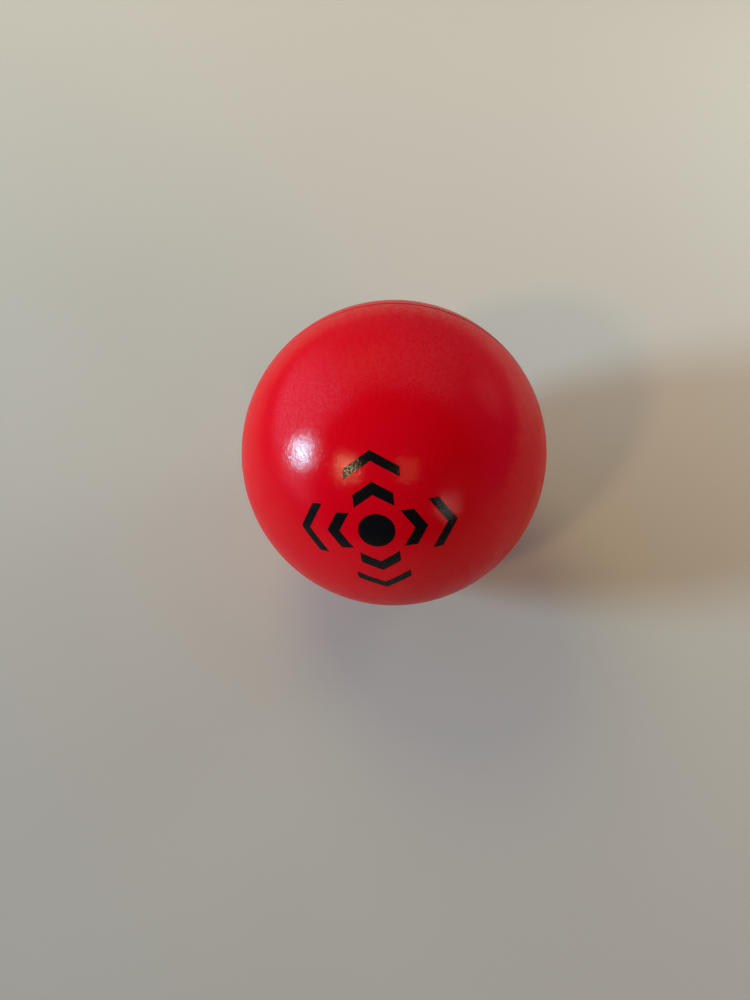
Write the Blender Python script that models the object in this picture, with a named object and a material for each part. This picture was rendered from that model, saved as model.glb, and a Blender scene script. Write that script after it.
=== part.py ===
"""Stickhandling ball: a non-bouncing training ball with the mass of a puck.

Two moulded half shells close round a heavy, dead core and are welded together at the ball's equator.
The printed half carries a tongue on its rim, the plain half the groove that takes it, and a bead of
melted plastic at the bottom of the groove holds the two for good. Ribs and a pole boss inside each
half seat the core, so that nothing rattles. Units are metres, +Z is up, and the origin is the ball's
centre. The ball lies as it was found on a table, with its moulding axis leaning to the front.
"""

import math

import bmesh
import bpy

# The ball and how it lies
BALL_DIAMETER = 0.065
LEAN_DEG = 51.0              # moulding axis from upright, towards -Y
FIT_GAP = 0.0003             # left between pieces that touch

# Half shells
SHELL_WALL = 0.0042
SEAM_GROOVE_WIDTH = 0.0010   # fine groove on the outside, where the halves meet
SEAM_GROOVE_DEPTH = 0.00035

# Weld joint on the rims
TONGUE_WIDTH = 0.0012        # at its root
TONGUE_HEIGHT = 0.0020       # below the seam plane
TONGUE_DRAFT = 0.0001        # each side leans in by this, root to tip
TONGUE_CHAMFER = 0.00025     # lead-in at the tip
WELD_BEAD_HEIGHT = 0.0008

# What holds the core inside each half
BOSS_DIAMETER = 0.009        # ring at the pole, under the core's flat
BOSS_WALL = 0.0020
BOSS_FILLET = 0.0006         # where the ring grows out of the wall
RIB_COUNT = 8
RIB_HEIGHT = 0.0030          # from the wall to the core's seat
RIB_ROOT_WIDTH = 0.0020
RIB_TIP_WIDTH = 0.0014
RIB_ROOT_DEPTH = 0.0008      # root sunk into the wall, so that rib and wall are one moulding
RIB_POLE_CLEARANCE = 0.004   # from the boss to the rib's end, along the wall
RIB_RIM_CLEARANCE = 0.006    # from the seam plane to the rib's end, along the wall
RIB_LEAD_IN_LENGTH = 0.009   # stretch next to the rim over which the tip falls back
RIB_LEAD_IN_DEPTH = 0.0014

# Weight core, which fills what the ribs and bosses leave
CORE_FLAT_MARGIN = 0.0010    # the trimmed flat at each pole reaches this far past the boss
CORE_LAND_WIDTH = 0.0022     # raised parting land round the core's equator
CORE_LAND_RISE = 0.0004

# Facets
SEGMENTS = 64
OUTER_STEPS = 16
INNER_STEPS = 9
LIP_STEPS = 3
CORE_SEGMENTS = 40
CORE_STEPS = 10
BEAD_POINTS = 8
RIB_STEPS = 9
AXIS_MERGE = 0.00001         # points this near the axis become one

# Sizes that follow from the ones above
BALL_RADIUS = BALL_DIAMETER / 2
INNER_RADIUS = BALL_RADIUS - SHELL_WALL
SEAT_RADIUS = INNER_RADIUS - RIB_HEIGHT
CORE_RADIUS = SEAT_RADIUS - FIT_GAP
BOSS_RADIUS = BOSS_DIAMETER / 2
CORE_FLAT_RADIUS = BOSS_RADIUS + CORE_FLAT_MARGIN
CORE_FLAT_HEIGHT = math.sqrt(CORE_RADIUS**2 - CORE_FLAT_RADIUS**2)
BOSS_ANGLE = math.asin((BOSS_RADIUS + BOSS_FILLET) / INNER_RADIUS)
RIM_HEIGHT = FIT_GAP / 2
JOINT_RADIUS = BALL_RADIUS - SHELL_WALL / 2
GROOVE_WIDTH = TONGUE_WIDTH + 2 * FIT_GAP
GROOVE_DEPTH = TONGUE_HEIGHT + WELD_BEAD_HEIGHT + 2 * FIT_GAP

# Finishes: colour, then roughness
SHELL_FINISH = ((0.578, 0.004, 0.010), 0.32)
BEAD_FINISH = ((0.578, 0.004, 0.010), 0.25)
CORE_FINISH = ((0.060, 0.058, 0.056), 0.75)


def clear_scene():
    for found in list(bpy.data.objects):
        bpy.data.objects.remove(found, do_unlink=True)


def plastic(name, colour, roughness):
    """A plain Principled material with no metal in it."""
    material = bpy.data.materials.new(name)
    material.use_nodes = True
    shader = material.node_tree.nodes["Principled BSDF"]
    shader.inputs["Base Color"].default_value = (*colour, 1.0)
    shader.inputs["Roughness"].default_value = roughness
    shader.inputs["Metallic"].default_value = 0.0
    return material


def add_object(name, mesh, parent, material=None):
    made = bpy.data.objects.new(name, mesh)
    bpy.context.scene.collection.objects.link(made)
    made.parent = parent
    if material:
        mesh.materials.append(material)
    return made


def arc(radius, start, end, steps):
    """Points (r, z) on a circle round the centre, by angle from the pole, both ends included."""
    angles = [start + (end - start) * i / steps for i in range(steps + 1)]
    return [(radius * math.sin(a), radius * math.cos(a)) for a in angles]


def on_wall(radius, distance):
    """The point (r, z) of a sphere at this distance from the axis, on the pole's side."""
    return distance, math.sqrt(radius**2 - distance**2)


def turned(name, outline, segments, parent, material, closed=False):
    """A turned solid: the outline (r, z) runs down its outer side and is spun once round the axis."""
    mesh = bpy.data.meshes.new(name)
    count = len(outline)
    edges = [(i, i + 1) for i in range(count - 1)]
    if closed:
        edges.append((count - 1, 0))
    mesh.from_pydata([(r, 0.0, z) for r, z in outline], edges, [])
    made = add_object(name, mesh, parent, material)
    spin = made.modifiers.new("turn", "SCREW")
    spin.steps = segments
    spin.render_steps = segments
    spin.use_merge_vertices = True
    spin.merge_threshold = AXIS_MERGE
    spin.use_smooth_shade = True
    return made


def tongue_points():
    """The tongue under the printed half's rim, from its outer root to its inner one."""
    root = TONGUE_WIDTH / 2
    side = root - TONGUE_DRAFT
    tip = side - TONGUE_CHAMFER
    outer = [(root, RIM_HEIGHT), (side, TONGUE_CHAMFER - TONGUE_HEIGHT), (tip, -TONGUE_HEIGHT)]
    inner = [(-offset, height) for offset, height in reversed(outer)]
    return [(JOINT_RADIUS + offset, height) for offset, height in outer + inner]


def groove_points():
    """The groove in the plain half's rim, from its outer edge to its inner one."""
    half = GROOVE_WIDTH / 2
    return [
        (JOINT_RADIUS + half, RIM_HEIGHT),
        (JOINT_RADIUS + half, GROOVE_DEPTH),
        (JOINT_RADIUS - half, GROOVE_DEPTH),
        (JOINT_RADIUS - half, RIM_HEIGHT),
    ]


def seam_lip():
    """The rounded outer edge of a rim, from the ball's surface in to the rim's face."""
    top = SEAM_GROOVE_WIDTH / 2
    edge = math.sqrt(BALL_RADIUS**2 - top**2)
    fall = top - RIM_HEIGHT
    depth = edge - (BALL_RADIUS - SEAM_GROOVE_DEPTH)
    turns = [math.pi / 2 * i / LIP_STEPS for i in range(1, LIP_STEPS + 1)]
    return [(edge - depth * (1 - math.cos(t)), top - fall * math.sin(t)) for t in turns]


def boss_points():
    """The ring at the inner pole, from the wall outside it to the wall inside it."""
    seat = CORE_FLAT_HEIGHT + FIT_GAP
    bore = BOSS_RADIUS - BOSS_WALL
    foot = on_wall(INNER_RADIUS, BOSS_RADIUS + BOSS_FILLET)
    return [
        foot,
        (BOSS_RADIUS, foot[1] - BOSS_FILLET),
        (BOSS_RADIUS, seat),
        (bore, seat),
        on_wall(INNER_RADIUS, bore),
    ]


def half_shell(name, rim, ribs, parent, material):
    """One half with its pole up: outside, seam lip, rim joint, inside wall and pole boss, then the ribs."""
    lip_angle = math.acos(SEAM_GROOVE_WIDTH / 2 / BALL_RADIUS)
    rim_angle = math.acos(RIM_HEIGHT / INNER_RADIUS)
    outline = arc(BALL_RADIUS, 0.0, lip_angle, OUTER_STEPS)
    outline += seam_lip()
    outline += rim
    outline += arc(INNER_RADIUS, rim_angle, BOSS_ANGLE, INNER_STEPS)[:-1]
    outline += boss_points()
    outline += [(0.0, INNER_RADIUS)]
    shell = turned(name, outline, SEGMENTS, parent, material)
    join = shell.modifiers.new("core_ribs", "BOOLEAN")
    join.operation = "UNION"
    join.solver = "EXACT"
    join.object = ribs
    return shell


def rib_section(angle, lead_start, foot):
    """Four corners (radius, side) of a rib at this angle from the pole: root pair, then tip pair."""
    fall = max(0.0, (angle - lead_start) / (foot - lead_start))
    tip = SEAT_RADIUS + RIB_LEAD_IN_DEPTH * fall**2
    root = INNER_RADIUS + RIB_ROOT_DEPTH
    return [
        (root, RIB_ROOT_WIDTH / 2),
        (root, -RIB_ROOT_WIDTH / 2),
        (tip, -RIB_TIP_WIDTH / 2),
        (tip, RIB_TIP_WIDTH / 2),
    ]


def core_ribs(name, parent):
    """All ribs of one half, pole up, as closed bodies that the half shell takes in."""
    head = BOSS_ANGLE + RIB_POLE_CLEARANCE / INNER_RADIUS
    foot = math.pi / 2 - RIB_RIM_CLEARANCE / INNER_RADIUS
    lead_start = foot - RIB_LEAD_IN_LENGTH / INNER_RADIUS
    shape = bmesh.new()
    for index in range(RIB_COUNT):
        turn = 2 * math.pi * index / RIB_COUNT
        rings = []
        for step in range(RIB_STEPS + 1):
            angle = head + (foot - head) * step / RIB_STEPS
            ring = []
            for radius, side in rib_section(angle, lead_start, foot):
                out = radius * math.sin(angle)
                x = out * math.cos(turn) - side * math.sin(turn)
                y = out * math.sin(turn) + side * math.cos(turn)
                ring.append(shape.verts.new((x, y, radius * math.cos(angle))))
            rings.append(ring)
        for above, below in zip(rings, rings[1:]):
            for i in range(len(above)):
                shape.faces.new((above[i - 1], above[i], below[i], below[i - 1]))
        shape.faces.new(rings[0][::-1])
        shape.faces.new(rings[-1])
    bmesh.ops.recalc_face_normals(shape, faces=shape.faces)
    mesh = bpy.data.meshes.new(name)
    shape.to_mesh(mesh)
    shape.free()
    helper = add_object(name, mesh, parent)
    helper.hide_render = True
    helper.display_type = "WIRE"
    return helper


def weld_bead(parent, material):
    """The ring of melted and set plastic between the tongue's tip and the groove's floor."""
    half_width = GROOVE_WIDTH / 2 - FIT_GAP
    half_height = WELD_BEAD_HEIGHT / 2
    middle = -TONGUE_HEIGHT - FIT_GAP - half_height
    turns = [math.pi / 2 - 2 * math.pi * i / BEAD_POINTS for i in range(BEAD_POINTS)]
    outline = [
        (JOINT_RADIUS + half_width * math.cos(t), middle + half_height * math.sin(t)) for t in turns
    ]
    return turned("weld_bead", outline, SEGMENTS, parent, material, closed=True)


def weight_core(parent, material):
    """The dead core: a moulded ball with a trimmed flat at each pole and a raised parting land."""
    flat_angle = math.asin(CORE_FLAT_RADIUS / CORE_RADIUS)
    land_angle = math.acos(CORE_LAND_WIDTH / 2 / CORE_RADIUS)
    land_radius = CORE_RADIUS + CORE_LAND_RISE
    upper = [(0.0, CORE_FLAT_HEIGHT)]
    upper += arc(CORE_RADIUS, flat_angle, land_angle, CORE_STEPS)
    upper += [(land_radius, CORE_LAND_WIDTH / 2)]
    lower = [(r, -z) for r, z in reversed(upper)]
    return turned("weight_core", upper + lower, CORE_SEGMENTS, parent, material)


def build_ball():
    clear_scene()
    axis = bpy.data.objects.new("moulding_axis", None)
    bpy.context.scene.collection.objects.link(axis)
    axis.rotation_euler = (math.radians(LEAN_DEG), 0.0, 0.0)

    shell_red = plastic("shell_red", *SHELL_FINISH)
    bead_red = plastic("bead_red", *BEAD_FINISH)
    core_grey = plastic("core_grey", *CORE_FINISH)

    printed_ribs = core_ribs("printed_half_ribs", axis)
    half_shell("printed_half_shell", tongue_points(), printed_ribs, axis, shell_red)

    plain_ribs = core_ribs("plain_half_ribs", axis)
    plain = half_shell("plain_half_shell", groove_points(), plain_ribs, axis, shell_red)
    for turned_over in (plain, plain_ribs):
        turned_over.rotation_euler = (math.pi, 0.0, 0.0)

    weld_bead(axis, bead_red)
    weight_core(axis, core_grey)


build_ball()
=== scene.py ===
# %% [markdown]
# # A stickhandling ball, finished for the camera
#
# The real thing is a dead, heavy training ball. Two half shells of red plastic are welded at the equator
# round a solid core, and one pole carries a small black print. The construction is already packed as a
# frame of four nodes. This lesson adds what the eye sees: the fine moulded grain, the seam, the print,
# the light and the camera. Nothing here moves or resizes the frame.

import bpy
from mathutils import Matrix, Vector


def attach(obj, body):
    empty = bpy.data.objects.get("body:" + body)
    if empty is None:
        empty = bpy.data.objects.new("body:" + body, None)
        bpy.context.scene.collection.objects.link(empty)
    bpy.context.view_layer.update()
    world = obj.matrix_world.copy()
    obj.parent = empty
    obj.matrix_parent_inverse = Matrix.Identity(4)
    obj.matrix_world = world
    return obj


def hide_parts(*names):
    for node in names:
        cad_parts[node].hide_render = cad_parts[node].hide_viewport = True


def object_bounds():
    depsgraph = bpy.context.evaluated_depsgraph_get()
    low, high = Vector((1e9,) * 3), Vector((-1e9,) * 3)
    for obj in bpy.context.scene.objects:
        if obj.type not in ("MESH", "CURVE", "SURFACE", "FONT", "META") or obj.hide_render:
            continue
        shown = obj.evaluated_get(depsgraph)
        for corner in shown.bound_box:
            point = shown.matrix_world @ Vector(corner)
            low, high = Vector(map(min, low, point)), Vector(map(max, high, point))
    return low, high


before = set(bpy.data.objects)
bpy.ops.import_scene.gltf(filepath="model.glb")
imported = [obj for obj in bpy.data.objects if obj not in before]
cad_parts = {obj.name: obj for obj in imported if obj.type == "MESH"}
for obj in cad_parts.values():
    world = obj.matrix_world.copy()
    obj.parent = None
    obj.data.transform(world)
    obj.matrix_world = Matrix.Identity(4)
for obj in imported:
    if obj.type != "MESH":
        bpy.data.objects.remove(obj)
cad_low, cad_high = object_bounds()
print("nodes in the frame:", ", ".join(sorted(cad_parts)))

# %% [markdown]
# ## How the ball lies
#
# Every piece below is placed from two facts, and both can be read from the frame: how large the ball is,
# and which way its moulding axis points. The axis runs from the plain half to the printed half, so the
# middles of those two nodes give it, and no angle has to be copied from the drawing.

# %% Measure the ball
import math

import bmesh
import bpy
from mathutils import Matrix, Vector

UP = Vector((0.0, 0.0, 1.0))


def middle_of(node):
    """The mean of a node's points."""
    points = [vertex.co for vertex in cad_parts[node].data.vertices]
    return sum(points, Vector()) / len(points)


ball_radius = min(cad_high - cad_low) / 2
moulding_axis = (middle_of("printed_half_shell") - middle_of("plain_half_shell")).normalized()
as_it_lies = UP.rotation_difference(moulding_axis).to_matrix()
lean = math.degrees(moulding_axis.angle(UP))
print(f"ball radius {ball_radius * 1000:.3f} mm, moulding axis {lean:.2f} degrees from upright")

# %% [markdown]
# ## The camera
#
# The picture was taken with a short lens from close above, so the lens sees less than half of the ball.
# A camera could be nudged by hand until the ball looks right. Here two facts set the view instead: the
# direction from the ball to the lens, and the place in the frame where the ball's middle falls. The
# camera stays level, so its tilt and its heading follow from those two, with no trial and error.

# %% Work out the camera's angles
IMAGE_WIDTH = 750
IMAGE_HEIGHT = 1000
BALL_PIXEL_X = 393.3         # where the line of sight to the ball's centre meets the image
BALL_PIXEL_Y = 454.5
LENS_MM = 27.04
SENSOR_MM = 36.0             # along the image's longer side
CAMERA_AZIMUTH = math.radians(-1.0)
CAMERA_ELEVATION = math.radians(62.3)


def level_camera_angles(across, up, azimuth, elevation):
    """Tilt and heading of a level camera that sees its target this far across and up, at depth one."""
    ray = Vector((across, up, -1.0)).normalized()
    tilt = math.acos(math.sin(elevation) / math.hypot(ray.y, ray.z)) - math.atan(up)
    forward = ray.y * math.cos(tilt) - ray.z * math.sin(tilt)
    return tilt, azimuth + math.atan2(ray.x, forward)


focal_pixels = LENS_MM / SENSOR_MM * IMAGE_HEIGHT
camera_tilt, camera_heading = level_camera_angles(
    (BALL_PIXEL_X - IMAGE_WIDTH / 2) / focal_pixels,
    (IMAGE_HEIGHT / 2 - BALL_PIXEL_Y) / focal_pixels,
    CAMERA_AZIMUTH,
    CAMERA_ELEVATION,
)
print(f"camera tilt {math.degrees(camera_tilt):.2f}, heading {math.degrees(camera_heading):.2f} degrees")

# %% [markdown]
# In Blender a camera, a lamp and a mesh are all data that an object puts somewhere in the scene, so one
# helper serves for all three. The Standard view shows each colour as it is written.

# %% Place the camera
CAMERA_RADII_AWAY = 5.034    # from the ball's centre, in ball radii
NEAREST_SEEN = 0.005         # what is nearer to the lens than this isn't drawn


def linked(name, data):
    """A new object in the scene that holds this data."""
    made = bpy.data.objects.new(name, data)
    bpy.context.scene.collection.objects.link(made)
    return made


camera_data = bpy.data.cameras.new("camera")
camera_data.lens = LENS_MM
camera_data.sensor_width = SENSOR_MM
camera_data.clip_start = NEAREST_SEEN
camera = linked("camera", camera_data)
camera.location = CAMERA_RADII_AWAY * ball_radius * Vector((
    math.sin(CAMERA_AZIMUTH) * math.cos(CAMERA_ELEVATION),
    -math.cos(CAMERA_AZIMUTH) * math.cos(CAMERA_ELEVATION),
    math.sin(CAMERA_ELEVATION),
))
camera.rotation_euler = (camera_tilt, 0.0, camera_heading)
bpy.context.scene.camera = camera
bpy.context.scene.view_settings.view_transform = "Standard"
print(f"camera {camera.location.length * 1000:.1f} mm from the ball's centre")

# %% [markdown]
# ## The light
#
# A satin ball is a curved mirror with the sharpness taken off: it shows where every lamp stands. One lamp
# overhead would light it, but it is the highlights that give such a ball its look, so each lamp is placed
# by the highlight it has to make. A broad cool lamp stands low on the left, like a window, and makes the
# white highlight and the long shadow. A small warm lamp behind the camera, at its left, makes the golden
# one, and two faint ones add a glimmer on the right. Bearings are given from the camera's heading, so
# that left and right mean what they mean in the picture.
#
# The window is two lamps in one place. A camera holds back the red of a highlight that is too bright for
# it, so in the ball the window looks bluer than the light that it throws. The lamp that is mirrored has
# that bluer colour, and a red one, hidden from mirrored rays, gives the light its red back.

# %% Set the lamps that the ball mirrors
LAMP_DISTANCE = 0.93
WINDOW_SIZE = (0.20, 0.245)


def toward(bearing, elevation):
    """The direction from the ball at this bearing, right of the camera's heading, and this height."""
    turn = camera_heading - math.radians(bearing)
    rise = math.radians(elevation)
    return Vector((-math.sin(turn) * math.cos(rise), math.cos(turn) * math.cos(rise), math.sin(rise)))


def soft_lamp(name, direction, distance, size, colour, power, shines=True):
    """An oval lamp that faces the ball: its width and height, its colour and its power in watts.

    One that doesn't shine lights the ball but isn't mirrored.
    """
    data = bpy.data.lights.new(name, "AREA")
    data.shape = "ELLIPSE"
    data.size = size[0]
    data.size_y = size[1]
    data.color = colour
    data.energy = power
    made = linked(name, data)
    made.location = direction * distance
    made.rotation_euler = direction.to_track_quat("Z", "Y").to_euler()
    made.visible_glossy = shines


WINDOW = toward(-98.7, 19.7)
soft_lamp("window", WINDOW, LAMP_DISTANCE, WINDOW_SIZE, (0.24, 0.78, 1.0), 11.3)
soft_lamp("window_red", WINDOW, LAMP_DISTANCE, WINDOW_SIZE, (1.0, 0.0, 0.0), 2.1, shines=False)
soft_lamp("warm_lamp", toward(-133.0, 41.3), LAMP_DISTANCE, (0.098, 0.098), (0.92, 0.64, 0.33), 2.16)
soft_lamp("warm_glimmer", toward(166.9, 50.9), LAMP_DISTANCE, (0.06, 0.06), (1.0, 0.62, 0.28), 0.30)
soft_lamp("pale_glimmer", toward(143.0, 16.0), LAMP_DISTANCE, (0.10, 0.14), (1.0, 0.92, 0.82), 0.40)
print("lamps that set the highlights:", ", ".join(sorted(light.name for light in bpy.data.lights)))

# %% [markdown]
# Walls and ceiling throw light back as well: from the far side, from the right and from the near side.
# Three soft panels stand for that. They light the ball and the table but are hidden from mirrored rays,
# because the room further down gives the ball what it mirrors.

# %% Set the panels that only light
soft_lamp("far_panel", toward(-26.0, 46.0), 0.60, (0.30, 0.30), (1.0, 0.94, 0.33), 1.14, shines=False)
soft_lamp("right_panel", toward(62.0, 20.0), 0.34, (0.14, 0.14), (0.76, 1.0, 0.85), 0.34, shines=False)
soft_lamp("near_panel", toward(132.0, 16.0), 1.2, (0.8, 0.8), (1.0, 0.69, 0.55), 2.9, shines=False)
print("lamps and panels in all:", len(bpy.data.lights))

# %% [markdown]
# ## Nodes in few words
#
# Materials in Blender are trees of nodes, and so is the light of a room, which Blender calls the world.
# Written out in full, each node takes several lines. Four helpers keep the rest of the lesson readable.
# The first adds a node and fills its inputs, with a plain value or with another node's output. The others
# stand for nodes that come up again and again: a mix of two colours, whose sockets Blender only numbers,
# a piece of arithmetic, and a smooth step.

# %% Helpers for node trees, and an empty room


def place(tree, kind, inputs=None, **settings):
    """Adds a node to the tree, with its settings, and fills inputs with values or with other sockets."""
    made = tree.nodes.new(kind)
    for name, value in settings.items():
        setattr(made, name, value)
    for socket, value in (inputs or {}).items():
        if isinstance(value, bpy.types.NodeSocket):
            tree.links.new(value, made.inputs[socket])
        else:
            made.inputs[socket].default_value = value
    return made


def mixed(tree, amount, first, second):
    """The colour that goes from first to second as amount goes from 0 to 1."""
    factor_socket, first_socket, second_socket, colour_output = 0, 6, 7, 2
    mix = place(
        tree,
        "ShaderNodeMix",
        {factor_socket: amount, first_socket: first, second_socket: second},
        data_type="RGBA",
    )
    return mix.outputs[colour_output]


def maths(tree, operation, *values):
    """The result of a Math node on these values or sockets."""
    return place(tree, "ShaderNodeMath", dict(enumerate(values)), operation=operation).outputs[0]


def ramped(tree, value, low, high, to_low=0.0, to_high=1.0):
    """A smooth step of value: to_low at low, to_high at high."""
    step = place(
        tree,
        "ShaderNodeMapRange",
        {"Value": value, "From Min": low, "From Max": high, "To Min": to_low, "To Max": to_high},
        interpolation_type="SMOOTHSTEP",
    )
    return step.outputs["Result"]


room = bpy.data.worlds.new("room")
room.use_nodes = True
bpy.context.scene.world = room
print("an empty room has these nodes:", ", ".join(node.name for node in room.node_tree.nodes))

# %% [markdown]
# ## The room
#
# What the ball mirrors besides the lamps is the room: pale walls all round, a faint glow on the far side,
# a dim wall at the right, the brightest wall beside the window, and a large dark patch on the near side
# and overhead. The edge of that patch is what draws the change from pale to deep red across the ball. A
# picture of a room could be wrapped round the scene, but a few soft patches are enough for a satin skin
# and can be moved one by one. Each is a disc of directions round a middle one, with a soft edge. A camera
# that looks past the table sees a plain pale backdrop instead, the same from every side.

# %% Paint the room
WALL_COLOUR = (0.25, 0.24, 0.32, 1.0)
BRIGHT_WALL_COLOUR = (1.30, 1.30, 1.92, 1.0)
GLOW_COLOUR = (0.52, 0.48, 0.59, 1.0)
DIM_WALL_COLOUR = (0.07, 0.08, 0.26, 1.0)
SHADE_COLOUR = (0.002, 0.002, 0.002, 1.0)
BACKDROP_COLOUR = (0.46, 0.45, 0.42, 1.0)
ROOM_PATCHES = (             # middle, inner and outer edge in degrees from it, colour
    (toward(20.0, 50.0), 8.0, 36.0, GLOW_COLOUR),
    (toward(88.0, 12.0), 18.0, 48.0, DIM_WALL_COLOUR),
    (toward(-84.0, 15.0), 4.0, 58.0, BRIGHT_WALL_COLOUR),
    (toward(180.0, 45.0), 60.0, 69.0, SHADE_COLOUR),
)

room_tree = room.node_tree
seen = place(room_tree, "ShaderNodeTexCoord").outputs["Generated"]


def patch_of_room(middle, inner, outer):
    """A mask that is 1 within this many degrees of a direction and falls to 0 at the outer angle."""
    nearness = place(room_tree, "ShaderNodeVectorMath", {0: seen, 1: middle}, operation="DOT_PRODUCT")
    edges = [math.cos(math.radians(angle)) for angle in (outer, inner)]
    return ramped(room_tree, nearness.outputs["Value"], *edges)


room_colour = WALL_COLOUR
for middle, inner, outer, colour in ROOM_PATCHES:
    room_colour = mixed(room_tree, patch_of_room(middle, inner, outer), room_colour, colour)
looked_at = place(room_tree, "ShaderNodeLightPath").outputs["Is Camera Ray"]
room_colour = mixed(room_tree, looked_at, room_colour, BACKDROP_COLOUR)
room_tree.links.new(room_colour, room_tree.nodes["Background"].inputs["Color"])
print(f"room: {len(ROOM_PATCHES)} patches over pale walls")

# %% [markdown]
# ## The table
#
# The ball stands on a pale, slightly warm tabletop. It is a stage, not a piece of the object, but it is
# half of what the ball's lower side mirrors, so it gets a real surface. Its colour carries painted light
# and shade: it fades from a darker near side, painted shade, to a paler far one, a painted pool of light,
# and a faint cloudiness bends the fade, so that it has no straight edge. The top is matt, so no lamp
# shows in it, and it has a fine tooth in the bump.
#
# This and every later finish uses four more helpers: where a point lies on its object, noise of a size in
# metres, a new material, and a bump with a real height.

# %% Helpers for finishes


def object_place(tree):
    """Where a point is on its object, in metres."""
    return place(tree, "ShaderNodeTexCoord").outputs["Object"]


def noise(tree, where, feature_size, detail=2.0):
    """Cloudy noise whose features have about this size, in metres."""
    made = place(
        tree,
        "ShaderNodeTexNoise",
        {"Vector": where, "Scale": 1.0 / feature_size, "Detail": detail},
    )
    return made.outputs["Fac"]


def new_material(name):
    """A material with a Principled shader, its tree and that shader."""
    material = bpy.data.materials.new(name)
    material.use_nodes = True
    tree = material.node_tree
    return material, tree, tree.nodes["Principled BSDF"]


def bumped(tree, height, distance, shader):
    """Gives the shader a surface that rises by distance, in metres, as height goes from 0 to 1."""
    bump = place(tree, "ShaderNodeBump", {"Height": height, "Distance": distance, "Strength": 1.0})
    for side in ("Normal", "Coat Normal"):
        tree.links.new(bump.outputs["Normal"], shader.inputs[side])


print("helpers for finishes: object_place, noise, new_material, bumped")

# %% Make the tabletop's finish
# The two table colours are painted light and shade: the near one is painted shade, the far one a painted
# pool of light.
NEAR_TABLE_PAINTED_SHADE = (0.272, 0.248, 0.221, 1.0)
FAR_TABLE_PAINTED_LIGHT = (0.615, 0.518, 0.469, 1.0)
FADE_WAY = toward(25.0, 0.0)
FADE_REACH = 0.30            # from the ball to where the table is as pale, or as dark, as it gets
CLOUD_SIZE = 0.06
CLOUD_SHIFT = 0.03           # how far the cloudiness moves the fade
TOOTH_SIZE = 0.0006
TOOTH_HEIGHT = 0.00002


def tabletop_painted_light():
    """The table's finish, with painted light and shade: paler the further along the fade a place lies."""
    material, tree, shader = new_material("tabletop_painted_light")
    where = object_place(tree)
    cloud = noise(tree, where, CLOUD_SIZE, detail=3.0)
    along = place(tree, "ShaderNodeVectorMath", {0: where, 1: FADE_WAY}, operation="DOT_PRODUCT")
    along = maths(tree, "MULTIPLY_ADD", cloud, CLOUD_SHIFT, along.outputs["Value"])
    # Painted light and shade: darker towards the near side, paler towards the far one.
    colour = mixed(tree, ramped(tree, along, -FADE_REACH, FADE_REACH), NEAR_TABLE_PAINTED_SHADE, FAR_TABLE_PAINTED_LIGHT)
    tree.links.new(colour, shader.inputs["Base Color"])
    shader.inputs["Roughness"].default_value = 0.8
    shader.inputs["Specular IOR Level"].default_value = 0.0
    bumped(tree, noise(tree, where, TOOTH_SIZE), TOOTH_HEIGHT, shader)
    return material


tabletop = tabletop_painted_light()
print("finish:", tabletop.name)

# %% [markdown]
# The table itself is a flat square under the ball, at the height of the frame's lowest point.

# %% Set up the table
TABLE_SIZE = 1.4


def level_sheet(name, squares, material):
    """A square, level sheet as large as the table, with this many squares along each side."""
    shape = bmesh.new()
    bmesh.ops.create_grid(shape, x_segments=squares, y_segments=squares, size=TABLE_SIZE / 2)
    mesh = bpy.data.meshes.new(name)
    shape.to_mesh(mesh)
    shape.free()
    mesh.materials.append(material)
    return linked(name, mesh)


table = level_sheet("table", squares=8, material=tabletop)
table.location.z = cad_low.z
print(f"table top at {table.location.z * 1000:.2f} mm")

# %% [markdown]
# ## A black flag
#
# Photographers lay a black card, a flag, beside a glossy subject to draw a dark line in it. The deep red
# stripe inside the ball's left rim is such a line: there the ball mirrors what lies beyond the table's
# edge. A dark card flat on the table, out of the picture, does the same. Only mirrored rays see it, so it
# neither shades the table nor shows from any side.

# %% Lay the flag
FLAG_DISTANCE = 0.165        # from the ball's middle to the card's near edge
FLAG_LIFT = 0.0005           # above the table
FLAG_BLACK = (0.008, 0.008, 0.010, 1.0)
FLAG_WORN = (0.012, 0.012, 0.014, 1.0)
FLAG_CLOUD_SIZE = 0.01


def flag_black():
    """The card's finish: black, dry and slightly uneven."""
    material, tree, shader = new_material("flag_black")
    cloud = noise(tree, object_place(tree), FLAG_CLOUD_SIZE)
    tree.links.new(mixed(tree, cloud, FLAG_BLACK, FLAG_WORN), shader.inputs["Base Color"])
    shader.inputs["Roughness"].default_value = 0.9
    return material


flag = level_sheet("flag", squares=1, material=flag_black())
flag.location = toward(-90.0, 0.0) * (FLAG_DISTANCE + TABLE_SIZE / 2)
flag.location.z = cad_low.z + FLAG_LIFT
flag.rotation_euler.z = camera_heading
flag.visible_camera = False
flag.visible_diffuse = False
flag.visible_transmission = False
flag.visible_shadow = False
print(f"flag {FLAG_DISTANCE * 1000:.0f} mm to the left")

# %% [markdown]
# ## Effects that several finishes share
#
# The mould leaves one grain on the whole ball, and the print is thin enough to follow it. Handling then
# leaves the same faint scuffs and flecks on plastic and ink alike. Each of these effects is a node group,
# built once and placed in every finish with its own values, and the grain runs on through the print.
#
# ### Moulded grain
#
# The mould was spark-eroded, so the plastic has a fine, even, random tooth. It breaks every highlight
# into sparkles, but it is too small to see as shape and would take millions of faces, so it is a height
# for the bump. Two sizes of noise make it: a fine one for the sparkle and a broader one for the slight
# waviness of a thick moulding. A third, very broad one is for the gloss, which drifts a little over any
# moulding. It is left as it comes, because a drift that is cut off at both ends shows its edges like a
# map.

# %% Build the grain group
BROAD_GRAINS = 3.5           # size of the waviness, in grains
BROAD_SHARE = 0.2            # its height, as a share of the grain's
DRIFT_GRAINS = 45.0          # size of the drift, in grains


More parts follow.
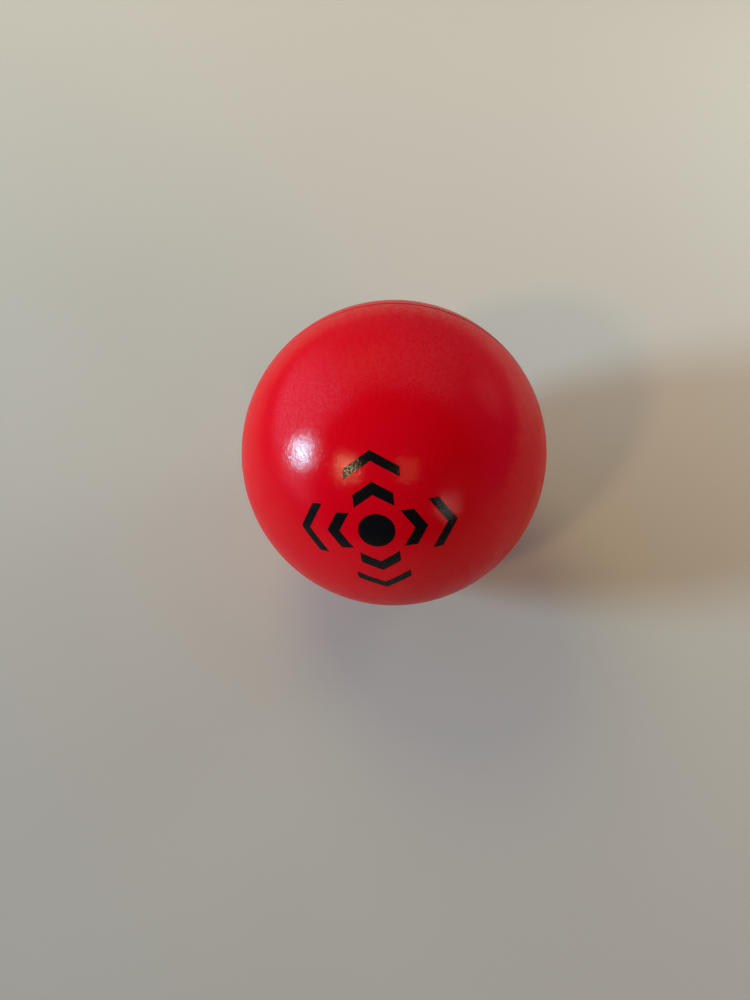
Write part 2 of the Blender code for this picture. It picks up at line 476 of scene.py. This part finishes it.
def new_group(name, inputs, outputs):
    """An empty node group with these sockets, and the ends of its tree where they come in and go out."""
    group = bpy.data.node_groups.new(name, "ShaderNodeTree")
    for socket, kind in inputs.items():
        group.interface.new_socket(socket, in_out="INPUT", socket_type=kind)
    for socket in outputs:
        group.interface.new_socket(socket, in_out="OUTPUT", socket_type="NodeSocketFloat")
    entry = group.nodes.new("NodeGroupInput").outputs
    result = group.nodes.new("NodeGroupOutput").inputs
    return group, entry, result


def moulded_grain():
    """The grain's height, and the slow drift of the gloss."""
    group, entry, result = new_group(
        "moulded_grain",
        {"Place": "NodeSocketVector", "Grain Size": "NodeSocketFloat"},
        ("Height", "Drift"),
    )
    layers = []
    for grains, detail in ((1.0, 0.0), (BROAD_GRAINS, 0.0), (DRIFT_GRAINS, 2.0)):
        size = maths(group, "MULTIPLY", entry["Grain Size"], grains)
        layer = place(
            group,
            "ShaderNodeTexNoise",
            {"Vector": entry["Place"], "Scale": maths(group, "DIVIDE", 1.0, size), "Detail": detail},
        )
        layers.append(layer.outputs["Fac"])
    fine, broad, drift = layers
    group.links.new(maths(group, "MULTIPLY_ADD", broad, BROAD_SHARE, fine), result["Height"])
    group.links.new(drift, result["Drift"])
    return group


grain_group = moulded_grain()
print("group:", grain_group.name)

# %% [markdown]
# ### Handling wear
#
# A ball that is pushed about on a floor picks up short, faint scuffs in every direction. They could be
# drawn one by one, but noise gives as many as are wanted: stretched long one way and cut off high, it
# leaves just its thin ridges. A second, broad noise keeps them to a few worn patches, and a third gives
# the slight change of tone that any moulded colour has.

# %% Build the wear group
SCUFF_WAYS = (               # turn of the noise in radians, and how fine it is along its axes
    ((0.3, 0.9, 0.2), (160.0, 2600.0, 2600.0)),
    ((1.1, 0.2, 1.4), (2600.0, 180.0, 2600.0)),
)
SCUFF_CUT = (0.70, 0.80)     # where the noise starts to be a scuff, and where it is a full one
WORN_PATCH_SIZE = 0.011
WORN_PATCH_CUT = (0.54, 0.72)
TONE_SIZE = 0.014


def handling_wear():
    """A mask of scuffs, and a cloudy tone."""
    group, entry, result = new_group(
        "handling_wear", {"Place": "NodeSocketVector", "Amount": "NodeSocketFloat"}, ("Scuff", "Tone")
    )
    scuffs = []
    for turn, stretch in SCUFF_WAYS:
        mapping = place(
            group, "ShaderNodeMapping", {"Vector": entry["Place"], "Rotation": turn, "Scale": stretch}
        )
        ridges = place(
            group, "ShaderNodeTexNoise", {"Vector": mapping.outputs["Vector"], "Scale": 1.0, "Detail": 1.0}
        )
        scuffs.append(ramped(group, ridges.outputs["Fac"], *SCUFF_CUT))
    both = maths(group, "MAXIMUM", *scuffs)
    patches = ramped(group, noise(group, entry["Place"], WORN_PATCH_SIZE), *WORN_PATCH_CUT)
    kept = maths(group, "MULTIPLY", both, patches)
    group.links.new(maths(group, "MULTIPLY", kept, entry["Amount"]), result["Scuff"])
    group.links.new(noise(group, entry["Place"], TONE_SIZE, detail=3.0), result["Tone"])
    return group


wear_group = handling_wear()
print("group:", wear_group.name)

# %% [markdown]
# ### Flecks
#
# Here and there sits a grain of dust, a nib left by the mould or, in the ink, a pinhole. A Voronoi
# texture scatters points evenly, and a random number for each cell keeps only a few of them.

# %% Build the fleck group


def small_flecks():
    """A mask of round flecks of one size, of which only a share is kept."""
    group, entry, result = new_group(
        "small_flecks",
        {
            "Place": "NodeSocketVector",
            "Spacing": "NodeSocketFloat",
            "Fleck Size": "NodeSocketFloat",
            "Kept Share": "NodeSocketFloat",
        },
        ("Fleck",),
    )
    cells = place(
        group,
        "ShaderNodeTexVoronoi",
        {"Vector": entry["Place"], "Scale": maths(group, "DIVIDE", 1.0, entry["Spacing"])},
    )
    distance = maths(group, "MULTIPLY", cells.outputs["Distance"], entry["Spacing"])
    inside = ramped(group, distance, entry["Fleck Size"], 0.0)
    lot = place(group, "ShaderNodeSeparateColor", {"Color": cells.outputs["Color"]}).outputs["Red"]
    kept = maths(group, "LESS_THAN", lot, entry["Kept Share"])
    group.links.new(maths(group, "MULTIPLY", inside, kept), result["Fleck"])
    return group


fleck_group = small_flecks()
print("group:", fleck_group.name)

# %% [markdown]
# ## Satin skin
#
# Plastic and ink share one skin. It mirrors clearly, but only part of what a polished skin would, and
# that holds at the rim too, where every polished thing mirrors most. More roughness would smear the
# highlight instead of thinning it. So the mirror here is a clear coat that covers only a share of the
# surface, over a body that is quite matt. The share drifts slowly from place to place. It is larger on
# the tops of the grain than in its pits, which gives the highlight its sparkle, and smaller in a scuff.

# %% Make the skin
LEAST_GLOSS = 0.30           # share of the skin that mirrors at the dullest place
GLOSS_DRIFT = 0.18           # from the dullest to the glossiest place
GLOSS_BLUR = 0.14            # roughness of what does mirror
GLOSS_GRAIN = 3.2            # how much more the tops of the grain mirror than its pits
GRAIN_MIDDLE = 0.5 * (1.0 + BROAD_SHARE)    # mean height of the grain


def satin_skin(tree, shader, grain, scuff):
    """Lets part of the skin mirror, more or less of it from place to place, and less where scuffed."""
    gloss = maths(tree, "MULTIPLY_ADD", grain["Drift"], GLOSS_DRIFT, LEAST_GLOSS)
    tops = maths(tree, "SUBTRACT", grain["Height"], GRAIN_MIDDLE)
    gloss = maths(tree, "MULTIPLY", gloss, maths(tree, "MULTIPLY_ADD", tops, GLOSS_GRAIN, 1.0))
    gloss = maths(tree, "MULTIPLY", gloss, maths(tree, "SUBTRACT", 1.0, scuff))
    tree.links.new(gloss, shader.inputs["Coat Weight"])
    shader.inputs["Coat Roughness"].default_value = GLOSS_BLUR
    shader.inputs["Specular IOR Level"].default_value = 0.0
    shader.inputs["Roughness"].default_value = 0.6


print(f"skin: {LEAST_GLOSS:.0%} to {LEAST_GLOSS + GLOSS_DRIFT:.0%} of it mirrors")

# %% [markdown]
# ## Red plastic
#
# The shells are a dense red plastic. Dirt gathers in their seam, which is the plane through the ball's
# centre square to the moulding axis, and painted shade darkens its groove as well. It could be a ring of
# its own, but a mask by distance from that plane needs no mesh. The band is wider at the right of the ball
# than at the left: the extra width at the right is painted shade, as the window lamp lights the ball from
# the left.

# %% Mask the dirt in the seam
SEAM_SHADE_LEFT_SHARE = 0.1             # width of the dirt and painted shade at the left, as a share of that at the right


def seam_dirt_and_shade(tree, where, seam_width):
    """A mask of dirt and painted shade on each side of the seam plane, this wide at the right of the ball.
    """
    off_seam = place(tree, "ShaderNodeVectorMath", {0: where, 1: moulding_axis}, operation="DOT_PRODUCT")
    off_seam = maths(tree, "ABSOLUTE", off_seam.outputs["Value"])
    across = place(tree, "ShaderNodeSeparateXYZ", {"Vector": where}).outputs["X"]
    width = ramped(tree, across, -ball_radius, ball_radius, SEAM_SHADE_LEFT_SHARE * seam_width, seam_width)
    return ramped(tree, off_seam, width, 0.0)


# The seam band narrows at the left because its extra width at the right is painted shade.
print(f"the seam's dirt narrows to {SEAM_SHADE_LEFT_SHARE:.0%} of its width at the left")

# %% [markdown]
# The red itself hardly varies, so the life of this surface is in the grain and in the satin skin, with a
# few scuffs, nibs and specks of dust. The weld bead is the same plastic and lies inside, so it has next
# to no seam dirt or painted seam shade.

# %% Make the red finish
RED = (0.600, 0.0006, 0.0070, 1.0)
DEEP_RED = (0.550, 0.0005, 0.0060, 1.0)
SCUFFED_RED = (0.640, 0.040, 0.048, 1.0)
DUST = (0.62, 0.40, 0.38, 1.0)
DUST_COVER = 0.3             # how much of the red a speck of dust hides
# Dark red of the seam band: dirt, and painted shade in the seam's groove.
SEAM_DIRT_AND_SHADE = (0.050, 0.004, 0.005, 1.0)
GRAIN_SIZE = 0.00023
GRAIN_HEIGHT = 0.000026
NIB_SHARE = 1.2              # height of a nib, in grain heights


def use_group(tree, group, inputs):
    """Places a node group in a material and returns its outputs."""
    return place(tree, "ShaderNodeGroup", inputs, node_tree=group).outputs


def red_plastic(name, seam_width):
    """The plastic of the shells and the bead, with dirt and painted shade in the seam to this width."""
    material, tree, shader = new_material(name)
    where = object_place(tree)
    grain = use_group(tree, grain_group, {"Place": where, "Grain Size": GRAIN_SIZE})
    wear = use_group(tree, wear_group, {"Place": where, "Amount": 0.35})
    fleck = use_group(
        tree,
        fleck_group,
        {"Place": where, "Spacing": 0.004, "Fleck Size": 0.0002, "Kept Share": 0.22},
    )["Fleck"]
    colour = mixed(tree, wear["Tone"], RED, DEEP_RED)
    colour = mixed(tree, wear["Scuff"], colour, SCUFFED_RED)
    colour = mixed(tree, maths(tree, "MULTIPLY", fleck, DUST_COVER), colour, DUST)
    # Dirt and painted shade darken the seam.
    colour = mixed(tree, seam_dirt_and_shade(tree, where, seam_width), colour, SEAM_DIRT_AND_SHADE)
    tree.links.new(colour, shader.inputs["Base Color"])
    satin_skin(tree, shader, grain, wear["Scuff"])
    bumped(tree, maths(tree, "MULTIPLY_ADD", fleck, NIB_SHARE, grain["Height"]), GRAIN_HEIGHT, shader)
    return material


shell_red = red_plastic("shell_red", seam_width=0.0008)
bead_red = red_plastic("bead_red", seam_width=0.0001)
print("finishes:", shell_red.name, bead_red.name)

# %% [markdown]
# ## Print ink
#
# The print is a pad print: one thin pass of black ink that sinks into the grain and takes the same satin
# skin as the plastic. Close up it has pinholes, where the red shows through, and its scuffs are a little
# redder than the rest.

# %% Make the ink
INK = (0.0045, 0.0040, 0.0045, 1.0)
WORN_INK = (0.030, 0.005, 0.006, 1.0)


def print_ink():
    """The black ink, on the same grain as the plastic."""
    material, tree, shader = new_material("print_ink")
    where = object_place(tree)
    grain = use_group(tree, grain_group, {"Place": where, "Grain Size": GRAIN_SIZE})
    wear = use_group(tree, wear_group, {"Place": where, "Amount": 0.5})
    pinhole = use_group(
        tree,
        fleck_group,
        {"Place": where, "Spacing": 0.0016, "Fleck Size": 0.00012, "Kept Share": 0.2},
    )["Fleck"]
    colour = mixed(tree, wear["Scuff"], INK, WORN_INK)
    colour = mixed(tree, pinhole, colour, DEEP_RED)
    tree.links.new(colour, shader.inputs["Base Color"])
    satin_skin(tree, shader, grain, wear["Scuff"])
    bumped(tree, grain["Height"], GRAIN_HEIGHT, shader)
    return material


ink = print_ink()
print("finish:", ink.name)

# %% [markdown]
# ## Core compound
#
# The core is a heavy, filled compound: dark grey, dry and matt, with pale mineral grains in it. Nobody
# sees it in a closed ball, but the model can be taken apart, so it has its own finish. The core and the
# weld bead keep the shapes that they have in the frame, and only their materials are exchanged.

# %% Make the core's finish
DARK_CORE = (0.050, 0.048, 0.046, 1.0)
PALE_CORE = (0.072, 0.070, 0.067, 1.0)
MINERAL = (0.20, 0.19, 0.18, 1.0)
CORE_GRAIN_SIZE = 0.0007
CORE_GRAIN_HEIGHT = 0.00006
LEAST_ROUGHNESS = 0.65
ROUGHNESS_DRIFT = 0.2        # from the smoothest to the roughest place


def core_compound():
    """The dry, filled compound of the core."""
    material, tree, shader = new_material("core_grey")
    where = object_place(tree)
    grain = use_group(tree, grain_group, {"Place": where, "Grain Size": CORE_GRAIN_SIZE})
    mineral = use_group(
        tree,
        fleck_group,
        {"Place": where, "Spacing": 0.0012, "Fleck Size": 0.0003, "Kept Share": 0.5},
    )["Fleck"]
    colour = mixed(tree, grain["Drift"], DARK_CORE, PALE_CORE)
    colour = mixed(tree, mineral, colour, MINERAL)
    tree.links.new(colour, shader.inputs["Base Color"])
    roughness = maths(tree, "MULTIPLY_ADD", grain["Drift"], ROUGHNESS_DRIFT, LEAST_ROUGHNESS)
    tree.links.new(roughness, shader.inputs["Roughness"])
    bumped(tree, grain["Height"], CORE_GRAIN_HEIGHT, shader)
    return material


core_grey = core_compound()
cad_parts["weight_core"].material_slots[0].material = core_grey
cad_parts["weld_bead"].material_slots[0].material = bead_red
print("weight_core and weld_bead keep their shapes and get their finishes")

# %% [markdown]
# ## Half shells
#
# A half shell is a turned part: one outline, from the outer pole down to the seam, through the joint and
# back along the inside wall to the inner pole, spun once round the moulding axis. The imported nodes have
# facets that show at this distance, so the shells are turned again here, four times as fine. Wall, joint,
# boss and ribs have the sizes of the construction. The parting line is closer, because two welded halves
# meet at a hair's breadth, and the corners are rounded as a mould rounds them.

# %% Sizes of the half shells
SHELL_WALL = 0.0042
FIT_GAP = 0.0003             # between the tongue and each side of its groove
PARTING_GAP = 0.00010        # left open at the seam
SEAM_LIP = 0.00036           # round on the outer edge of each rim
TONGUE_WIDTH = 0.0012
TONGUE_HEIGHT = 0.0020
TONGUE_DRAFT = 0.0001        # each side leans in by this, root to tip
GROOVE_DEPTH = 0.0034
JOINT_ROUND = 0.00012        # round on the corners of the joint
BOSS_RADIUS = 0.0045
BOSS_BORE = 0.0025
BOSS_SEAT = 0.02469          # height of the boss's face above the seam plane
BOSS_ROUND = 0.0004

inner_radius = ball_radius - SHELL_WALL
joint_radius = ball_radius - SHELL_WALL / 2
rim_height = PARTING_GAP / 2
print(f"wall {SHELL_WALL * 1000:.1f} mm, joint at radius {joint_radius * 1000:.2f} mm")

# %% [markdown]
# The outline is a list of points in two numbers: distance from the axis and height above the seam plane.
# Round stretches come from an arc, and the corners of the joint from a small curve that starts and ends
# at the same distance from each corner.

# %% Draw round stretches and corners
ROUND_STEPS = 5


def arc(radius, start, end, steps):
    """Points on a circle round the ball's centre, by angle from the pole, both ends included."""
    angles = [start + (end - start) * i / steps for i in range(steps + 1)]
    return [Vector((radius * math.sin(a), radius * math.cos(a))) for a in angles]


def rounded(corners, reach):
    """The corners with each one but the ends drawn as a curve that starts and ends this far from it."""
    points = [corners[0]]
    for before, corner, after in zip(corners, corners[1:], corners[2:]):
        start = corner + (before - corner).normalized() * reach
        end = corner + (after - corner).normalized() * reach
        for i in range(ROUND_STEPS + 1):
            share = i / ROUND_STEPS
            points.append(start.lerp(corner, share).lerp(corner.lerp(end, share), share))
    return points + [corners[-1]]


def seam_lip():
    """The round outer edge of a rim, from the ball's surface in to the rim's face."""
    top = rim_height + SEAM_LIP
    edge = math.sqrt(ball_radius**2 - top**2)
    turns = [math.pi / 2 * i / ROUND_STEPS for i in range(1, ROUND_STEPS + 1)]
    return [Vector((edge - SEAM_LIP * (1 - math.cos(t)), top - SEAM_LIP * math.sin(t))) for t in turns]


print(f"each corner of an outline has {ROUND_STEPS + 1} points")

# %% [markdown]
# The halves differ only at the joint: one has a tongue and the other a groove for it. Each joint starts on
# the flat face of the rim, a little outside its first corner, and its inner side mirrors its outer one.

# %% Draw the joints


def joint_outline(outer):
    """A joint from the corners of its outer side, each an offset from its radius and a height."""
    inner = [(-offset, height) for offset, height in reversed(outer)]
    corners = [Vector((joint_radius + offset, height)) for offset, height in outer + inner]
    return rounded(corners, JOINT_ROUND)


def tongue():
    """The joint of the printed half, from its outer root round the tip to its inner one."""
    root = TONGUE_WIDTH / 2
    tip = root - TONGUE_DRAFT
    return joint_outline([(TONGUE_WIDTH, rim_height), (root, rim_height), (tip, -TONGUE_HEIGHT)])


def groove():
    """The joint of the plain half, from its outer edge round the floor to its inner one."""
    half = TONGUE_WIDTH / 2 + FIT_GAP
    return joint_outline([(1.5 * half, rim_height), (half, rim_height), (half, GROOVE_DEPTH)])


print(f"joints of {len(tongue())} and {len(groove())} points")

# %% [markdown]
# At the inner pole a ring-shaped boss carries the core. With it the outline is complete, from the outer
# pole to the inner one.

# %% Draw the outlines of both halves
OUTER_STEPS = 72
INNER_STEPS = 40

boss_foot = BOSS_RADIUS + BOSS_ROUND
boss_angle = math.asin(boss_foot / inner_radius)


def pole_boss():
    """The ring at the inner pole that the core rests on, from the wall outside it to the one inside."""
    foot = Vector((boss_foot, math.sqrt(inner_radius**2 - boss_foot**2)))
    corners = [
        foot,
        Vector((BOSS_RADIUS, foot.y - BOSS_ROUND)),
        Vector((BOSS_RADIUS, BOSS_SEAT)),
        Vector((BOSS_BORE, BOSS_SEAT)),
        Vector((BOSS_BORE, math.sqrt(inner_radius**2 - BOSS_BORE**2))),
    ]
    return rounded(corners, BOSS_ROUND)


def half_outline(joint):
    """One half, pole up: outside, seam lip, joint, inside wall, boss, inner pole."""
    lip_angle = math.acos((rim_height + SEAM_LIP) / ball_radius)
    rim_angle = math.acos(rim_height / inner_radius)
    outline = arc(ball_radius, 0.0, lip_angle, OUTER_STEPS)
    outline += seam_lip()
    outline += joint
    outline += arc(inner_radius, rim_angle, boss_angle, INNER_STEPS)[:-1]
    outline += pole_boss()
    return outline + [Vector((0.0, inner_radius))]


printed_outline = half_outline(tongue())
plain_outline = half_outline(groove())
print(f"outlines of {len(printed_outline)} and {len(plain_outline)} points")

# %% [markdown]
# Inside, eight ribs run down the wall and hold the core. They are four-cornered sections, swept along the
# wall, that taper to the tip and fall back near the rim, so that the core slides in. Their roots reach
# into the wall, because a union needs shapes that overlap.

# %% Shape of a rib
RIB_HEIGHT = 0.0030
RIB_ROOT_WIDTH = 0.0020
RIB_TIP_WIDTH = 0.0014
RIB_ROOT_DEPTH = 0.0008      # how far a root reaches into the wall
RIB_POLE_CLEARANCE = 0.004   # along the wall, from the boss to a rib's head
RIB_RIM_CLEARANCE = 0.006    # along the wall, from a rib's foot to the seam plane
RIB_LEAD_IN_LENGTH = 0.009
RIB_LEAD_IN_DEPTH = 0.0014

rib_head = boss_angle + RIB_POLE_CLEARANCE / inner_radius
rib_foot = math.pi / 2 - RIB_RIM_CLEARANCE / inner_radius
lead_in = rib_foot - RIB_LEAD_IN_LENGTH / inner_radius


def rib_corners(angle):
    """Corners of a rib's section at this angle from the pole, as (radius, side)."""
    fall = max(0.0, (angle - lead_in) / (rib_foot - lead_in))
    tip = inner_radius - RIB_HEIGHT + RIB_LEAD_IN_DEPTH * fall**2
    root = inner_radius + RIB_ROOT_DEPTH
    return [
        (root, RIB_ROOT_WIDTH / 2),
        (root, -RIB_ROOT_WIDTH / 2),
        (tip, -RIB_TIP_WIDTH / 2),
        (tip, RIB_TIP_WIDTH / 2),
    ]


print(f"a rib runs from {math.degrees(rib_head):.1f} to {math.degrees(rib_foot):.1f} degrees from the pole")

# %% [markdown]
# Both halves have the same ribs, so one set is made, pole up, and serves both.

# %% Sweep the ribs
RIB_COUNT = 8
RIB_STEPS = 28


def add_rib(shape, turn):
    """Sweeps one rib into the mesh, this far round the axis."""
    rings = []
    for step in range(RIB_STEPS + 1):
        angle = rib_head + (rib_foot - rib_head) * step / RIB_STEPS
        ring = []
        for radius, side in rib_corners(angle):
            out = radius * math.sin(angle)
            x = out * math.cos(turn) - side * math.sin(turn)
            y = out * math.sin(turn) + side * math.cos(turn)
            ring.append(shape.verts.new((x, y, radius * math.cos(angle))))
        rings.append(ring)
    for above, below in zip(rings, rings[1:]):
        for i in range(len(above)):
            shape.faces.new((above[i - 1], above[i], below[i], below[i - 1]))
    shape.faces.new(rings[0][::-1])
    shape.faces.new(rings[-1])


def mesh_from(shape, name):
    """Ends a bmesh: normals out, then a mesh of this name."""
    bmesh.ops.recalc_face_normals(shape, faces=shape.faces)
    mesh = bpy.data.meshes.new(name)
    shape.to_mesh(mesh)
    shape.free()
    return mesh


rib_shape = bmesh.new()
for index in range(RIB_COUNT):
    add_rib(rib_shape, 2 * math.pi * index / RIB_COUNT)
ribs = linked("ribs", mesh_from(rib_shape, "ribs"))
print(f"ribs: {RIB_COUNT}, {len(ribs.data.vertices)} points in all")

# %% [markdown]
# A Screw modifier could turn the outlines as well. The spin operator does it at once, on the mesh itself.
# It leaves a ring of doubled points at each pole, which are merged, and the normals are turned out.

# %% Spin the outlines
SEGMENTS = 256
AXIS_MERGE = 0.000001


def turned(name, outline):
    """Spins an outline once round the axis."""
    shape = bmesh.new()
    points = [shape.verts.new((point.x, 0.0, point.y)) for point in outline]
    edges = [shape.edges.new(pair) for pair in zip(points, points[1:])]
    bmesh.ops.spin(
        shape,
        geom=points + edges,
        axis=UP,
        cent=(0.0, 0.0, 0.0),
        angle=2 * math.pi,
        steps=SEGMENTS,
        use_merge=True,
    )
    bmesh.ops.remove_doubles(shape, verts=shape.verts, dist=AXIS_MERGE)
    return linked(name, mesh_from(shape, name))


printed_half = turned("printed_half", printed_outline)
plain_half = turned("plain_half", plain_outline)
print(f"turned halves of {len(printed_half.data.vertices)} and {len(plain_half.data.vertices)} points")

# %% [markdown]
# A Boolean union makes ribs and wall one moulding, as they are in the real shell. It is applied at once,
# and the loose ribs are removed when both halves have theirs, so that each half is one clean mesh.

# %% Unite the halves with their ribs


def unite_ribs(half):
    """Makes the ribs one with a turned half."""
    union = half.modifiers.new("ribs", "BOOLEAN")
    union.operation = "UNION"
    union.object = ribs
    graph = bpy.context.evaluated_depsgraph_get()
    joined = bpy.data.meshes.new_from_object(half.evaluated_get(graph))
    half.modifiers.clear()
    half.data = joined


for half in (printed_half, plain_half):
    unite_ribs(half)
    print(f"{half.name}: {len(half.data.vertices)} points with its ribs")
bpy.data.objects.remove(ribs)

# %% [markdown]
# Both halves were made pole up. The printed one only leans over to the moulding axis, and the plain one
# is turned upside down first. Walls shade smoothly, and faces that meet at a steep angle keep a sharp
# edge between them.

# %% Lay the halves in the ball
SHARP_ANGLE = math.radians(40.0)


def lay_half(half, lie):
    """Turns a half from pole up to where it lies in the ball, and gives it its finish."""
    half.data.transform(lie)
    half.data.shade_smooth()
    half.data.set_sharp_from_angle(angle=SHARP_ANGLE)
    half.data.materials.clear()
    half.data.materials.append(shell_red)


pole_up = as_it_lies.to_4x4()
pole_down = pole_up @ Matrix.Rotation(math.pi, 4, "X")
lay_half(printed_half, pole_up)
lay_half(plain_half, pole_down)
for half, node in ((printed_half, "printed_half_shell"), (plain_half, "plain_half_shell")):
    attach(half, "root")
    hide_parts(node)
    print(f"{half.name} stands for {node}")

# %% [markdown]
# ## The print
#
# Ink on a ball could be painted in the material, but then it would have no edge of its own. Here it is a
# thin film, as it is on the real ball: each mark is a flat patch, drawn in metres from the middle of the
# print, that is laid on the sphere by keeping its distance and direction from that middle. A ball is put
# into the printing nest by hand, so the print sits a little off the pole and a little turned. The design
# is a plain one: a dot, and two arrowheads in each of four directions.

# %% Place the print
PRINT_OFF_POLE = (-0.0028, -0.0011)     # across and up, along the surface
PRINT_TURN = math.radians(8.0)


def along_ball(start, across_way, across, up):
    """The direction this far across and up from a start direction, along the surface."""
    reach = math.hypot(across, up)
    if reach == 0.0:
        return start
    way = (across_way * across + start.cross(across_way) * up) / reach
    return start * math.cos(reach / ball_radius) + way * math.sin(reach / ball_radius)


pole_across = as_it_lies @ Vector((1.0, 0.0, 0.0))
print_middle = along_ball(moulding_axis, pole_across, *PRINT_OFF_POLE)
level_across = (pole_across - print_middle * pole_across.dot(print_middle)).normalized()
print_across = Matrix.Rotation(PRINT_TURN, 3, print_middle) @ level_across
print(f"print middle {math.degrees(print_middle.angle(moulding_axis)):.1f} degrees from the pole")

# %% [markdown]
# A patch of ink is a grid of points that is laid on the ball twice: a hair above the plastic for the top
# of the film, and a hair below it for the underside. Faces between the two rims close it, so every mark
# is a closed film, and no gap shows under its edge.

# %% Lay a patch of ink on the ball
INK_HEIGHT = 0.00002         # top of the film above the plastic
INK_ROOT = 0.00002           # underside of the film below it


def on_ball(across, up, height):
    """The point of the ball this far across and up from the print's middle, along the surface."""
    return along_ball(print_middle, print_across, across, up) * (ball_radius + height)


def lay_patch(shape, outline, columns, rows):
    """A closed film: outline gives a place on the print for two numbers from 0 to 1."""
    layers = []
    for height in (INK_HEIGHT, -INK_ROOT):
        grid = []
        for row in range(rows + 1):
            places = [outline(column / columns, row / rows) for column in range(columns + 1)]
            grid.append([shape.verts.new(on_ball(across, up, height)) for across, up in places])
        layers.append(grid)
    for row in range(rows):
        for column in range(columns):
            for grid in layers:
                line, next_line = grid[row : row + 2]
                shape.faces.new((line[column], line[column + 1], next_line[column + 1], next_line[column]))
    rims = []
    for grid in layers:
        right = [line[-1] for line in grid]
        left = [line[0] for line in grid]
        rims.append(grid[0][:-1] + right[:-1] + grid[-1][:0:-1] + left[:0:-1])
    upper, lower = rims
    for i in range(len(upper)):
        shape.faces.new((upper[i - 1], upper[i], lower[i], lower[i - 1]))


print(f"ink film {(INK_HEIGHT + INK_ROOT) * 1000:.2f} mm thick")

# %% [markdown]
# A square grid can become any of the marks. Squeezed by the square root of what the other side leaves, it
# becomes a round dot without a pinched centre. Sheared both ways from its middle line, it becomes an
# arrowhead.

# %% Draw the marks
DOT_RADIUS = 0.0034
ARROWS = ((0.0094, 0.0024, 0.0037), (0.0150, 0.0019, 0.0052))    # apex, stroke, half width
ARROW_SLOPE = 0.62
ARROW_WAYS = 4


def dot(share_across, share_up):
    """The round dot at the middle of the print."""
    across = 2.0 * share_across - 1.0
    up = 2.0 * share_up - 1.0
    return (
        DOT_RADIUS * across * math.sqrt(1.0 - up**2 / 2),
        DOT_RADIUS * up * math.sqrt(1.0 - across**2 / 2),
    )


def arrowhead(turn, apex, stroke, half_width):
    """An arrowhead that points away from the middle, turned this far from pointing across."""
    def outline(share_along, share_side):
        side = half_width * (2.0 * share_side - 1.0)
        along = apex - ARROW_SLOPE * abs(side) - stroke * (1.0 - share_along)
        return Matrix.Rotation(turn, 2) @ Vector((along, side))
    return outline


print(f"marks: a dot and {ARROW_WAYS * len(ARROWS)} arrowheads")

# %% [markdown]
# The grids are fine enough to follow the ball without a facet, and have an even number of cells, so that
# a line of points runs along the crease of each arrowhead. All marks are one piece, as they are one print.

# %% Print the marks
PATCH_STEP = 0.00045         # largest side of a grid cell


def cells(length):
    """How many grid cells a length takes, as an even number."""
    return 2 * math.ceil(length / PATCH_STEP / 2)


print_shape = bmesh.new()
lay_patch(print_shape, dot, cells(2 * DOT_RADIUS), cells(2 * DOT_RADIUS))
for way in range(ARROW_WAYS):
    for apex, stroke, half_width in ARROWS:
        outline = arrowhead(2 * math.pi * way / ARROW_WAYS, apex, stroke, half_width)
        lay_patch(print_shape, outline, cells(stroke), cells(2 * half_width))
print_mesh = mesh_from(print_shape, "pole_print")
print_mesh.shade_smooth()
print_mesh.set_sharp_from_angle(angle=SHARP_ANGLE)
print_mesh.materials.append(ink)
pole_print = linked("pole_print", print_mesh)
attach(pole_print, "root")
print(f"pole_print: {len(print_mesh.vertices)} points")
